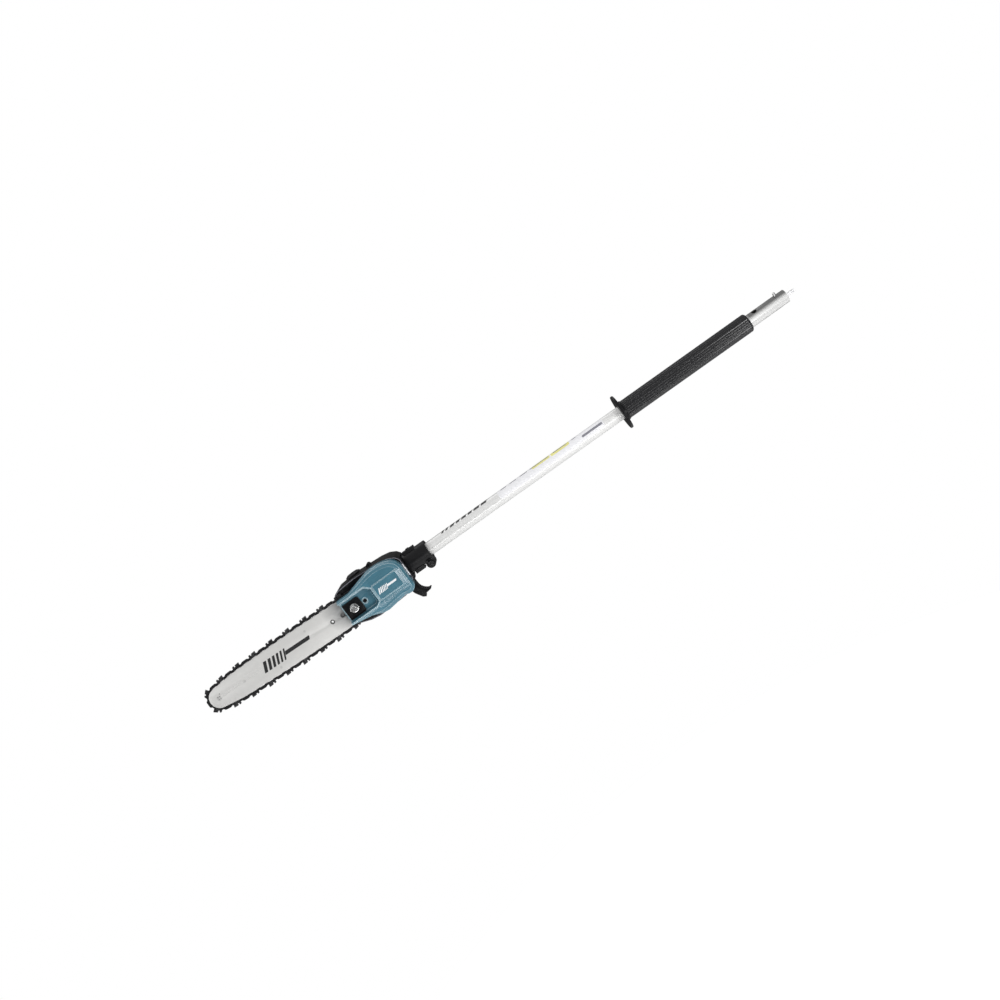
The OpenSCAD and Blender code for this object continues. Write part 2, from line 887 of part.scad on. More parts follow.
module drive_links() {
    color(steel) in_bar_frame() slab(-gauge / 2, gauge / 2)
        for (k = [0:drive_link_count - 1]) link_at(2 * k) drive_link_outline(half_span(2 * k));
}

module tie_straps() {
    color("gray") in_bar_frame() for (side = [-1, 1]) strap_places(side, false);
}

module cutters_left() {
    color("gray") in_bar_frame() {
        strap_places(1, true);
        top_plates(1);
    }
}

module cutters_right() {
    color("gray") in_bar_frame() {
        strap_places(-1, true);
        top_plates(-1);
    }
}

module chain_rivets() {
    outer = gauge / 2 + strap_t;
    head = 0.3;
    color(steel) in_bar_frame() for (k = [0:pin_count - 1]) {
        p = pin_at(k);
        rod_y(p[0], p[1], rivet_r, -outer, outer, $fn = 24);
        rod_y(p[0], p[1], 1.9, -outer - head, -outer, $fn = 24);
        rod_y(p[0], p[1], 1.9, outer, outer + head, $fn = 24);
    }
}

// ---------------------------------------------------------------- cover and tensioner

cover_back = -29;
floor_y = -35.3;
floor_t = 2.7;

module cover_outline() {
    rounded(3) polygon([
        [-954, 24], [-928, 24], [-901, 32], [-882, 36.5], [-870, 38], [-856, 37.4], [-843, 34.7],
        [-833, 30], [-826, 23], [-822, 12], [-822, -30], [-826, -36], [-832, -39.2], [-840, -38.8],
        [-846, -36.2], [-867, -39.5], [-885, -42], [-896, -40.4], [-915, -33.3], [-930, -30.6],
        [-954, -27]
    ]);
}

module recess_outline() {
    rounded(2) polygon([[-970, 18], [-898, 18], [-888.5, 9], [-888.5, -17], [-896, -22], [-970, -22]]);
}

module raised_plate() {
    polygon([[-884, 12.3], [-831, 12.3], [-831, -18.5], [-884, -18.5]]);
}

module sprocket_cover() {
    wall_x = -886;
    color(teal) difference() {
        union() {
            slab(-cover_front, floor_y) cover_outline();
            intersection() {
                slab(-cover_front, cover_back) cover_outline();
                box_at(wall_x, -800, -70, 0, -60, 60);
            }
            slab(-cover_front - 2, -cover_front + eps) offset(delta = -1.5) raised_plate();
        }
        // hollow over the sprocket
        slab(-cover_front + cover_wall, 0) intersection() {
            offset(delta = -cover_wall) cover_outline();
            translate([wall_x, -60]) square([90, 120]);
        }
        // hollow above and below the recess
        for (z = [21, -55]) slab(-cover_front + cover_wall, 0) intersection() {
            offset(delta = -cover_wall) cover_outline();
            translate([-926, z]) square([42, 30]);
        }
        slab(-cover_front - 5, floor_y - floor_t) recess_outline();
        rod_y(stud_x, stud_z, stud_r + 0.3, -60, 0);
        rod_y(screw_x, screw_z, 3.9, -60, 0);
    }
}

panel_y = floor_y - floor_t;

module cover_panel() {
    color("black") slab(panel_y - 3, panel_y) difference() {
        rounded(5) polygon([[-958, 11.7], [-918, 11.7], [-918, -19.6], [-958, -19.6]]);
        translate([-970, -30]) square([18, 60]);
        translate([stud_x, stud_z]) circle(r = stud_r + 0.3);
    }
}

module guide_plate_outline() {
    difference() {
        rounded(2) polygon([[-950, -18], [-950, 14], [-898, 14], [-898, -18]]);
        translate([stud_x, stud_z]) circle(r = stud_r + 0.2);
        translate([screw_x, screw_z]) circle(r = 3.9);
        translate([pin_x - 3.4, pin_z - 3.4]) square([12, 6.8]);
    }
}

module outer_guide_plate() {
    color(steel) slab(floor_y, bar_y - bar_t / 2) guide_plate_outline();
}

module inner_guide_plate() {
    color(steel) slab(bar_y + bar_t / 2, pad_y) guide_plate_outline();
}

module bar_stud() {
    color(steel) {
        rod_y(stud_x, stud_z, stud_r, panel_y - 13, pad_y);
        rod_y(stud_x, stud_z, 3.5, pad_y - eps, stud_end);
    }
}

washer_t = 1.5;
nut_y = panel_y - 3 - washer_t;
nut_flange = 1.2;

module nut_washer() {
    color(steel) ring_y(stud_x, stud_z, 8, stud_r + run_fit, nut_y, nut_y + washer_t);
}

module bar_nut() {
    color("silver") difference() {
        union() {
            rod_y(stud_x, stud_z, 7.4, nut_y - nut_flange, nut_y);
            translate([stud_x, nut_y - nut_flange + eps, stud_z]) rotate([90, 0, 0])
                cylinder(r = 7.3, h = 6.3, $fn = 6);
        }
        rod_y(stud_x, stud_z, stud_r + run_fit, -70, 0);
    }
}

screw_teeth = 10;
screw_module = 0.8;
spindle_y = -14;
screw_gear_r = screw_module * screw_teeth / 2;

module tension_screw() {
    color(steel) translate([screw_x, spindle_y, screw_z]) rotate([90, 0, 0]) difference() {
        union() {
            bevel(screw_teeth, screw_teeth, screw_module, 1.8, 180 / screw_teeth);
            translate([0, 0, screw_gear_r - eps]) cylinder(r = 3, h = 13);
            translate([0, 0, 16.2]) cylinder(r = 3.6, h = 4.2);
        }
        translate([-0.6, -5, 18.8]) cube([1.2, 10, 4]);
    }
}

module tension_spindle() {
    color(steel) translate([screw_x, spindle_y, screw_z]) rotate([0, -90, 0]) {
        bevel(screw_teeth, screw_teeth, screw_module, 1.8, 90);
        translate([0, 0, screw_gear_r - eps]) cylinder(r = 3.4, h = 3);
        translate([0, 0, screw_gear_r + 2]) cylinder(r = 2.5, h = 33);
    }
}

module tension_block() {
    color("silver") difference() {
        union() {
            box_at(pin_x - 4, pin_x + 4, spindle_y - 4, spindle_y + 4, screw_z - 4, pin_z + 3);
            rod_y(pin_x, pin_z, pin_r, bar_y - bar_t / 2, spindle_y - 3);
        }
        translate([0, spindle_y, screw_z]) rod_x(2.5 + run_fit, pin_x - 10, pin_x + 10);
    }
}

pole_tube();
pole_label();
hand_grip();
grip_flange();
drive_shaft();
shaft_bushes();
locating_peg();
gear_case();
gear_case_cover();
case_cover_bolts();
clamp_bolt();
locating_screw();
pinion();
pinion_circlip();
pinion_bearing_outers();
pinion_bearing_inners();
pinion_bearing_balls();
output_shaft();
bevel_gear();
output_bearing_outers();
output_bearing_inners();
output_bearing_balls();
output_seal();
drive_sprocket();
sprocket_clip();
pump_worm();
pump_body();
pump_plunger();
oil_tank();
oil_cap();
cap_seal();
oil_pickup();
oil_hose();
rear_housing();
chain_plate();
plate_screws();
branch_hook();
hook_screw();
bar_stud();
inner_guide_plate();
bar_side_plates();
bar_core();
nose_sprocket();
nose_rivets();
drive_links();
tie_straps();
cutters_left();
cutters_right();
chain_rivets();
sprocket_cover();
cover_panel();
outer_guide_plate();
nut_washer();
bar_nut();
tension_screw();
tension_spindle();
tension_block();
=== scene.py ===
import json
import math

import bmesh
import bpy
from mathutils import Matrix, Vector


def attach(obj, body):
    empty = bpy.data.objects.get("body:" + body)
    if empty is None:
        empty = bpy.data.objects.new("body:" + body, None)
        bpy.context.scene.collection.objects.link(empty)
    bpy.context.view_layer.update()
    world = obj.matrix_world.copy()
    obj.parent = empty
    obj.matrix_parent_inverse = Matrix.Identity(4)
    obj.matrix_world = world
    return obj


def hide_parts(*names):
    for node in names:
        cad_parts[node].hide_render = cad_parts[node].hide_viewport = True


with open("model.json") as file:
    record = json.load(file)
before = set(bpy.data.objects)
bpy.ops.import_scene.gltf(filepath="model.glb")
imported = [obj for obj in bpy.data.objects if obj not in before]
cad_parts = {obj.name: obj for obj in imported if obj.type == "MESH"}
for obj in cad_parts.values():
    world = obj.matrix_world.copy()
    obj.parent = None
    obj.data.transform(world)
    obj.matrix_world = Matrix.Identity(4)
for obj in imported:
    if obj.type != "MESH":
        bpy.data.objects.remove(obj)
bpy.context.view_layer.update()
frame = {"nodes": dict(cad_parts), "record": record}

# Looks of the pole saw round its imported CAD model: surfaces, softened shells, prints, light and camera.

MM = 0.001
POLE_R = 12.5  # the tube's outer radius
BAR_FACE = -34.0  # the guide bar's front face
PARTING = -29.0  # where the sprocket cover meets the rear housing
nodes = frame["nodes"]
slot_of = {part["node"]: part["material_slot"] for part in frame["record"]["subparts"]}
body_of = {
    node: body for body, members in frame["record"]["behaviour"]["bodies"].items() for node in members
}


# ---------------------------------------------------------------- materials

class Look:
    """A Principled material and small helpers for its procedural detail."""

    def __init__(self, name, rough=0.4, metal=0.0, **sockets):
        self.material = bpy.data.materials.new(name)
        self.material.use_nodes = True
        self.tree = self.material.node_tree
        self.shader = self.tree.nodes["Principled BSDF"]
        self.shader.inputs["Roughness"].default_value = rough
        self.shader.inputs["Metallic"].default_value = metal
        for key, value in sockets.items():
            self.shader.inputs[key.replace("_", " ")].default_value = value
        self.place = self.add("ShaderNodeTexCoord").outputs["Object"]
        self.normal = None

    def add(self, kind, **settings):
        node = self.tree.nodes.new(kind)
        for key, value in settings.items():
            setattr(node, key, value)
        return node

    def feed(self, source, socket):
        """Links an output, or sets a plain number or colour."""
        if isinstance(source, bpy.types.NodeSocket):
            self.tree.links.new(source, socket)
        elif hasattr(source, "__len__") and len(source) == 3 and socket.type == "RGBA":
            socket.default_value = (*source, 1.0)
        else:
            socket.default_value = source

    def noise(self, size, detail=3.0, stretch=(1, 1, 1), offset=(0, 0, 0)):
        """Noise with features about size millimetres across, longer along the stretched axes."""
        mapping = self.add("ShaderNodeMapping")
        self.feed(self.place, mapping.inputs["Vector"])
        self.feed([1 / s for s in stretch], mapping.inputs["Scale"])
        self.feed(offset, mapping.inputs["Location"])
        node = self.add("ShaderNodeTexNoise")
        self.feed(mapping.outputs["Vector"], node.inputs["Vector"])
        self.feed(1 / (size * MM), node.inputs["Scale"])
        self.feed(detail, node.inputs["Detail"])
        return node.outputs["Fac"]

    def span(self, value, low, high, start=0.35, end=0.65):
        """Maps value from start..end onto low..high."""
        node = self.add("ShaderNodeMapRange")
        self.feed(value, node.inputs["Value"])
        for number, name in ((start, "From Min"), (end, "From Max"), (low, "To Min"), (high, "To Max")):
            self.feed(number, node.inputs[name])
        return node.outputs["Result"]

    def mix(self, factor, a, b):
        node = self.add("ShaderNodeMix", data_type="RGBA")
        self.feed(factor, node.inputs[0])
        self.feed(a, node.inputs[6])
        self.feed(b, node.inputs[7])
        return node.outputs[2]

    def times(self, a, b):
        node = self.add("ShaderNodeMath", operation="MULTIPLY")
        self.feed(a, node.inputs[0])
        self.feed(b, node.inputs[1])
        return node.outputs[0]

    def bump(self, height, depth):
        """Adds relief of depth millimetres."""
        node = self.add("ShaderNodeBump")
        self.feed(depth * MM, node.inputs["Distance"])
        self.feed(height, node.inputs["Height"])
        if self.normal:
            self.feed(self.normal, node.inputs["Normal"])
        self.normal = node.outputs["Normal"]
        self.feed(self.normal, self.shader.inputs["Normal"])

    def edges(self, width, strength=1.0, soft=0.86):
        """1 along edges, within about width millimetres, broken up by noise, and 0 elsewhere."""
        bevel = self.add("ShaderNodeBevel", samples=4)
        self.feed(width * MM, bevel.inputs["Radius"])
        geometry = self.add("ShaderNodeNewGeometry")
        dot = self.add("ShaderNodeVectorMath", operation="DOT_PRODUCT")
        self.feed(bevel.outputs["Normal"], dot.inputs[0])
        self.feed(geometry.outputs["Normal"], dot.inputs[1])
        near = self.span(dot.outputs["Value"], 0.0, strength, 0.99, soft)
        return self.times(near, self.span(self.noise(2.2, 3), 0.6, 1.0))

    def spot(self, x, y, z, inner, outer):
        """1 within inner millimetres of a point and 0 beyond outer."""
        node = self.add("ShaderNodeVectorMath", operation="DISTANCE")
        self.feed(self.place, node.inputs[0])
        self.feed((x * MM, y * MM, z * MM), node.inputs[1])
        return self.span(node.outputs["Value"], 1.0, 0.0, inner * MM, outer * MM)

    def colour(self, value):
        self.feed(value, self.shader.inputs["Base Color"])

    def roughness(self, value):
        self.feed(value, self.shader.inputs["Roughness"])


def shade(colour, k):
    return tuple(min(1.0, c * k) for c in colour)


def plastic(name, colour, rough, wear_and_highlight, grain=0.35, relief=0.02, edge=0.5, wear_and_highlight_strength=0.6, soft=0.86, **sockets):
    """Moulded plastic or painted casting: cloudy tone, fine grain, lightened edges (wear, and on some finishes a
    painted highlight), faint scuffs.
    """
    look = Look(name, rough, **sockets)
    cloud = look.span(look.noise(22, 3), 0.0, 1.0)
    tone = look.mix(cloud, shade(colour, 0.92), shade(colour, 1.07))
    scuff = look.span(look.noise(1.1, 4, stretch=(9, 1, 1)), 0.0, 0.35, 0.66, 0.78)
    tone = look.mix(scuff, tone, shade(wear_and_highlight, 0.8))
    # lightened edges: wear on most finishes, a painted highlight where the edge colour is bright
    look.colour(look.mix(look.edges(edge, wear_and_highlight_strength, soft), tone, wear_and_highlight))
    fine = look.noise(grain, 2)
    look.roughness(look.span(fine, rough - 0.05, rough + 0.07))
    look.bump(fine, relief)
    return look


def steel(name, colour, rough, metal=1.0, stretch=(14, 1, 1), size=0.16, contrast=0.06, wear_and_highlight=None, edge=0.25,
          relief=0.004):
    """Ground or turned metal: streaks along the stretched axis, cloudy stains, brighter edges."""
    look = Look(name, rough, metal)
    streak = look.noise(size, 4, stretch)
    cloud = look.span(look.noise(16, 3), 0.0, 1.0)
    tone = look.mix(look.span(streak, 0, 1), shade(colour, 1 - contrast), shade(colour, 1 + contrast))
    tone = look.mix(cloud, tone, shade(colour, 1 - 0.6 * contrast))
    if wear_and_highlight:
        tone = look.mix(look.edges(edge), tone, wear_and_highlight)
    look.colour(tone)
    look.roughness(look.span(streak, rough - 0.07, rough + 0.09))
    look.bump(streak, relief)
    return look


def bar_steel():
    """Brushed bar with faint welds, the shadow of the nose rivets, and painted shadow of the sprocket cover
    darkening the bar next to it, mottled by noise.
    """
    look = steel("bar_steel", (0.70, 0.695, 0.68), 0.45, 0.2, stretch=(40, 1, 1), size=0.14, contrast=0.05,
                 relief=0.002)
    tone = look.shader.inputs["Base Color"].links[0].from_socket
    for x, z, inner, outer in ((-1177, 2.7, 2.2, 3.6), (-1034, 13.5, 1.6, 2.8), (-1108, -15.5, 1.8, 3.0)):
        tone = look.mix(look.times(look.spot(x, BAR_FACE, z, inner, outer), 0.30), tone, (0.30, 0.30, 0.29))
    tone = look.mix(look.times(look.spot(-1233.5, BAR_FACE, 3.8, 3.8, 5.6), 0.35), tone, (0.28, 0.28, 0.28))
    tone = look.mix(look.times(look.spot(-1228, BAR_FACE, 10, 0.6, 1.3), 0.85), tone, (0.03, 0.03, 0.03))
    # painted shadow: the bar is darkened near the sprocket cover, where the cover would shade it
    cover_shadow_mottle = look.span(look.noise(14, 4, stretch=(2, 1, 1)), 0.70, 0.95)
    cover_shadow_spot = look.spot(-945, BAR_FACE, 6, 18, 50)
    tone = look.mix(look.times(cover_shadow_mottle, cover_shadow_spot), tone, (0.19, 0.195, 0.20))
    look.colour(tone)
    return look


def tube_look():
    """Bright anodised tube: drawn lines along its length, a soft sheen, and painted shade along its underside and
    on top of its end past the grip.
    """
    look = Look("alu_pole", 0.30, 0.2)
    drawn = look.noise(0.22, 3, stretch=(220, 1, 1))
    cloud = look.span(look.noise(60, 3, stretch=(4, 1, 1)), 0, 1)
    tone = look.mix(look.span(drawn, 0, 1), (0.80, 0.80, 0.79), (0.86, 0.86, 0.85))
    tone = look.mix(cloud, tone, (0.82, 0.82, 0.815))
    axes = look.add("ShaderNodeSeparateXYZ")
    look.feed(look.place, axes.inputs[0])
    # painted shade: darker along the underside, and dark along the top of the end past the grip
    end_shade_span = look.span(axes.outputs["X"], 0.0, 0.9, -82 * MM, -74 * MM)
    painted_top_shade = look.span(axes.outputs["Z"], 0.0, 1.0, 2 * MM, 8 * MM)
    painted_underside_shade = look.span(axes.outputs["Z"], 0.0, 0.55, -2 * MM, -11.5 * MM)
    tone = look.mix(painted_underside_shade, tone, (0.40, 0.40, 0.395))
    look.colour(look.mix(look.times(end_shade_span, painted_top_shade), tone, (0.08, 0.08, 0.08)))
    look.roughness(look.span(drawn, 0.26, 0.38))
    look.bump(drawn, 0.0025)
    return look


def rubber(name, colour, rough, shine):
    """Smooth rubber sleeve with a dusty bloom and tiny pits."""
    look = Look(name, rough, Specular_IOR_Level=shine)
    bloom = look.span(look.noise(9, 4, stretch=(4, 1, 1)), 0.0, 0.30, 0.5, 0.8)
    look.colour(look.mix(bloom, colour, shade(colour, 2.2)))
    pits = look.noise(0.5, 3)
    look.roughness(look.span(pits, rough - 0.06, rough + 0.10))
    look.bump(pits, 0.008)
    return look


def paper(name, colour, rough=0.35):
    """Printed film label with a faint fibre tone."""
    look = Look(name, rough)
    look.colour(look.mix(look.span(look.noise(6, 4), 0, 1), colour, shade(colour, 0.95)))
    look.roughness(look.span(look.noise(1.0, 3), rough - 0.04, rough + 0.08))
    look.bump(look.noise(0.6, 2), 0.004)
    return look


TEAL = (0.067, 0.188, 0.252)
BLACK = (0.0055, 0.0055, 0.0065)
CASTING = (0.007, 0.007, 0.008)
SHORT_STREAKS = (2, 1, 1)
looks = {
    "alu_pole": tube_look(),
    "label_white": paper("label_white", (0.94, 0.94, 0.965)),
    "grip_rubber": rubber("grip_rubber", (0.003, 0.003, 0.0045), 0.19, 0.45),
    # black plastic: its lighter edges are painted highlights
    "black_plastic": plastic(
        "black_plastic", BLACK, 0.33, (0.12, 0.12, 0.13), edge=1.8, Specular_IOR_Level=0.15
    ),
    "black_casting": plastic(
        "black_casting", CASTING, 0.38, (0.13, 0.13, 0.14), grain=0.6, relief=0.03, edge=0.6, Specular_IOR_Level=0.2
    ),
    # teal plastic: its near-white edges are painted highlights
    "teal_plastic": plastic(
        "teal_plastic", TEAL, 0.22, (0.74, 0.90, 0.95), grain=0.45, relief=0.004, edge=1.7, wear_and_highlight_strength=1.0, soft=0.962
    ),
    "bar_steel": bar_steel(),
    "chain_steel": steel(
        "chain_steel", (0.035, 0.035, 0.037), 0.36, 0.8, size=0.5, stretch=SHORT_STREAKS, contrast=0.25,
        wear_and_highlight=(0.22, 0.22, 0.23)
    ),
    "cutter_chrome": steel(
        "cutter_chrome", (0.13, 0.13, 0.135), 0.28, 0.9, size=0.5, stretch=SHORT_STREAKS, contrast=0.25,
        wear_and_highlight=(0.55, 0.55, 0.56), edge=0.35
    ),
    "bright_steel": steel(
        "bright_steel", (0.70, 0.70, 0.70), 0.24, 1.0, size=0.3, contrast=0.10, wear_and_highlight=(0.88, 0.88, 0.88)
    ),
    "gear_steel": steel(
        "gear_steel", (0.24, 0.24, 0.245), 0.36, 0.9, size=0.4, contrast=0.15, wear_and_highlight=(0.55, 0.55, 0.55)
    ),
    "bush_plastic": plastic("bush_plastic", (0.70, 0.69, 0.64), 0.45, (0.8, 0.8, 0.76)),
    "tank_plastic": plastic("tank_plastic", (0.62, 0.61, 0.54), 0.42, (0.72, 0.71, 0.66)),
    "seal_rubber": rubber("seal_rubber", (0.02, 0.02, 0.02), 0.55, 0.3),
    "pump_metal": steel("pump_metal", (0.50, 0.50, 0.50), 0.40, 1.0, size=0.5, contrast=0.12),
    "brass_worm": steel("brass_worm", (0.62, 0.45, 0.20), 0.32, 1.0, size=0.3, contrast=0.12),
}
for name, node in nodes.items():
    look = looks[slot_of[name]].material
    if not node.material_slots:
        node.data.materials.append(look)
    for entry in node.material_slots:
        entry.material = look


# ---------------------------------------------------------------- mesh helpers

def new_piece(name, mesh):
    piece = bpy.data.objects.new(name, mesh)
    bpy.context.scene.collection.objects.link(piece)
    return piece


def settle(piece, sharp=32):
    """Applies the modifiers and shades the mesh smooth, with sharp edges kept."""
    graph = bpy.context.evaluated_depsgraph_get()
    mesh = bpy.data.meshes.new_from_object(piece.evaluated_get(graph))
    piece.modifiers.clear()
    piece.data = mesh
    mesh.polygons.foreach_set("use_smooth", [True] * len(mesh.polygons))
    mesh.set_sharp_from_angle(angle=math.radians(sharp))
    return piece


def bevel(piece, width, segments=2, angle=28):
    m = piece.modifiers.new("edges", "BEVEL")
    m.width = width * MM
    m.segments = segments
    m.limit_method = "ANGLE"
    m.angle_limit = math.radians(angle)
    return settle(piece)


def dress(piece, slot, body, *replaced):
    """Gives a piece its material, body and the CAD nodes it stands for."""
    piece.data.materials.clear()
    piece.data.materials.append(looks[slot].material)
    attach(piece, body)
    if replaced:
        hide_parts(*replaced)
    return piece


def clean(work):
    """Welds a triangulated solid and joins its flat faces."""
    bmesh.ops.remove_doubles(work, verts=work.verts, dist=2e-6)
    bmesh.ops.dissolve_limit(work, angle_limit=math.radians(0.8), verts=work.verts, edges=work.edges)


def softened(name, node, width, segments=2, angle=28):
    """A copy of a CAD node with its edges rounded, which stands for it."""
    work = bmesh.new()
    work.from_mesh(nodes[node].data)
    clean(work)
    mesh = bpy.data.meshes.new(name)
    work.to_mesh(mesh)
    work.free()
    if mesh.attributes.get("custom_normal"):
        mesh.attributes.remove(mesh.attributes["custom_normal"])
    piece = bevel(new_piece(name, mesh), width, segments, angle)
    return dress(piece, slot_of[node], body_of[node], node)


def solid(name, rings):
    """A closed solid through rings, each (y, [(x, z), ...]) in millimetres."""
    work = bmesh.new()
    loops = [[work.verts.new((x * MM, y * MM, z * MM)) for x, z in points] for y, points in rings]
    n = len(loops[0])
    for a, b in zip(loops, loops[1:]):
        for i in range(n):
            work.faces.new((a[i], a[(i + 1) % n], b[(i + 1) % n], b[i]))
    work.faces.new(loops[0])
    work.faces.new(loops[-1])
    bmesh.ops.recalc_face_normals(work, faces=work.faces)
    mesh = bpy.data.meshes.new(name)
    work.to_mesh(mesh)
    work.free()
    return new_piece(name, mesh)


def carve(piece, operation, tool):
    """Cuts, joins or intersects with another piece, which is used up."""
    m = piece.modifiers.new("carve", "BOOLEAN")
    m.operation = operation
    m.solver = "EXACT"
    m.object = tool
    settle(piece)
    bpy.data.objects.remove(tool)
    return piece


def filleted(points, radius, steps=5, sharp=()):
    """An outline with its corners rounded, always with the same number of points; the sharp ones hardly."""
    out = []
    for i, p in enumerate(points):
        p = Vector(p)
        a = Vector(points[i - 1]) - p
        b = Vector(points[(i + 1) % len(points)]) - p
        half = max(a.angle(b) / 2, 0.01)
        reach = min(1.0 if i in sharp else radius / math.tan(half), 0.46 * a.length, 0.46 * b.length)
        start, end = p + a.normalized() * reach, p + b.normalized() * reach
        for k in range(steps + 1):
            t = k / steps
            q = start * (1 - t) ** 2 + p * (2 * t * (1 - t)) + end * t ** 2
            out.append((q.x, q.y))
    return out


def inset(points, d):
    """A clockwise outline moved inwards by d millimetres."""
    out = []
    for i, p in enumerate(points):
        p = Vector(p)
        u = (p - Vector(points[i - 1])).normalized()
        v = (Vector(points[(i + 1) % len(points)]) - p).normalized()
        nu, nv = Vector((u.y, -u.x)), Vector((v.y, -v.x))
        n = (nu + nv).normalized()
        q = p + n * (d / max(0.5, n.dot(nu)))
        out.append((q.x, q.y))
    return out


def rectangle(x0, x1, z0, z1):
    return [(x0, z1), (x1, z1), (x1, z0), (x0, z0)]


def circle(x, z, r, n=48):
    return [(x + r * math.cos(2 * math.pi * k / n), z - r * math.sin(2 * math.pi * k / n)) for k in range(n)]


def join(name, pieces):
    """Joins several pieces' meshes into one."""
    work = bmesh.new()
    for piece in pieces:
        work.from_mesh(piece.data)
        bpy.data.objects.remove(piece)
    mesh = bpy.data.meshes.new(name)
    work.to_mesh(mesh)
    work.free()
    return new_piece(name, mesh)


# ---------------------------------------------------------------- sprocket cover

FRONT = -52.0  # the cover's front face
SHOULDER = -49.4  # where its sloping sides turn steeper
FLOOR = -38.0  # behind the recess
CHAIN_SIDE = -35.3  # the face that clears the chain
WALL = 2.5
OUTER = [
    (-954, 24), (-928, 24.6), (-901, 32), (-882, 36.8), (-870, 38), (-856, 37.4), (-843, 34.7),
    (-833, 30), (-826, 23), (-822, 12), (-822, -30), (-826, -36), (-832, -39.2), (-840, -38.8),
    (-846, -36.2), (-867, -39.5), (-885, -42), (-896, -40.4), (-915, -33.3), (-930, -30.6), (-954, -27)
]
INNER = [
    (-953.2, 20), (-928, 20.3), (-903, 23), (-884, 27.5), (-871, 29.2), (-857.5, 28.7), (-846.5, 26.5),
    (-838.5, 23), (-833.3, 17.5), (-830.8, 10), (-830.8, -18.5), (-832, -20.6), (-835, -21.4), (-840, -21.4),
    (-848, -21.4), (-867, -21.6), (-884, -22.6), (-893, -26.6), (-914, -27.6), (-930, -26.4), (-953.2, -24.6)
]
SHARP = (0, 20)
outer_loop = filleted(OUTER, 12.0, 6, SHARP)
inner_loop = filleted(INNER, 9.0, 6, SHARP)
shoulder_loop = [
    (a[0] * 0.62 + b[0] * 0.38, a[1] * 0.62 + b[1] * 0.38) for a, b in zip(outer_loop, inner_loop)
]


def recess_outline(left, right, top, bottom, cut, low_cut):
    """The recess's outline, with its two right corners cut off."""
    return [
        (left, top), (right - cut[0], top), (right, top - cut[1]), (right, bottom + low_cut[1]),
        (right - low_cut[0], bottom), (left, bottom)
    ]


def block(name, outline, y0, y1):
    """A straight solid between two depths."""
    return solid(name, [(y0, outline), (y1, outline)])


def sprocket_cover():
    """The teal cover: sloping sides, raised plate, rimmed recess, and hollows over the sprocket and chain."""
    cover = solid("sprocket_cover_shell", [
        (PARTING, outer_loop), (-43.5, outer_loop), (SHOULDER, shoulder_loop), (FRONT, inner_loop)
    ])
    plate = solid("plate", [
        (FRONT + 0.6, filleted([(-885.5, 13), (-829.6, 13), (-829.6, -19.6), (-885.5, -19.6)], 1.6)),
        (-53.85, filleted([(-884.1, 11.6), (-834.6, 11.6), (-834.6, -17.6), (-884.1, -17.6)], 1.4))
    ])
    carve(cover, "UNION", plate)
    rim = recess_outline(-951.2, -888.5, 18, -22, (9.5, 9), (7.5, 5))
    carve(cover, "UNION", solid("rim", [
        (FRONT + 0.8, filleted(inset(rim, -2.3), 3)), (-52.5, filleted(inset(rim, -2.1), 3)),
        (-53.3, filleted(inset(rim, -1.3), 3))
    ]))
    cavity = [(-888.5, 34.6)] + [p for p in OUTER if p[0] > -886] + [(-888.5, -41.4)]
    side, end = filleted(inset(cavity, WALL), 3), filleted(inset(cavity, 4 * WALL), 3)
    carve(cover, "DIFFERENCE", solid("hollow", [(0, side), (-42.5, side), (-48.5, end)]))
    carve(cover, "DIFFERENCE", block("rear_step", rectangle(-980, -885.5, -60, 60), CHAIN_SIDE, -10))
    wide = filleted(recess_outline(-980, -888.5, 18, -22, (9.5, 9), (7.5, 5)), 3.5)
    deep = filleted(recess_outline(-980, -894, 16.2, -19.8, (6.5, 7.8), (4.5, 4.6)), 4.0)
    carve(cover, "DIFFERENCE", solid("recess", [
        (-60, inset(wide, -0.6)), (FRONT, wide), (-40, deep), (-39.6, deep)
    ]))
    well = filleted(recess_outline(-952.4, -894, 16.2, -19.8, (6.5, 7.8), (4.5, 4.6)), 4.0)
    carve(cover, "DIFFERENCE", block("well", well, -42, FLOOR))
    boss = solid("boss", [(-37, circle(-912, -3.9, 5.6)), (-38.9, circle(-912, -3.9, 5.2))])
    carve(cover, "UNION", boss)
    for x, z, r in ((-934, -3.4, 4.3), (-912, -3.9, 3.9)):
        carve(cover, "DIFFERENCE", block("hole", circle(x, z, r), -60, 0))
    work = bmesh.new()
    work.from_mesh(cover.data)
    clean(work)
    work.to_mesh(cover.data)
    work.free()
    bevel(cover, 0.8, 3, 24)
    return dress(cover, "teal_plastic", "frame", "sprocket_cover")


sprocket_cover()


def slanted(x0, x1, z0, z1, lean):
    """A slanted bar with its foot at x0..x1."""
    return [(x0 + lean, z1), (x1 + lean, z1), (x1, z0), (x0, z0)]


def printed_mark(name, x0, x1, z0, z1, y, thickness, slot, body, tilt=0.0):
    """A plain generic stripe mark: slanted bars of falling width before one long stripe."""
    height, length = z1 - z0, x1 - x0
    lean = height * 0.45
    strokes = []
    x = x0
    for k in range(6):
        width = length * (0.060 - 0.006 * k)
        strokes.append(filleted(slanted(x, x + width, z0, z1, lean), 0.06 * height, 3))
        x += width + length * 0.030
    stripe = slanted(x, x1 - lean, z0 + 0.36 * height, z1 - 0.28 * height, lean * 0.36)
    strokes.append(filleted(stripe, 0.06 * height, 3))
    mark = join(name, [block("stroke", s, y, y - thickness) for s in strokes])
    if tilt:
        centre = Vector(((x0 + x1) / 2, y, (z0 + z1) / 2)) * MM
        turn = Matrix.Translation(centre) @ Matrix.Rotation(tilt, 4, "Y") @ Matrix.Translation(-centre)
        mark.data.transform(turn)
    return dress(mark, slot, body)


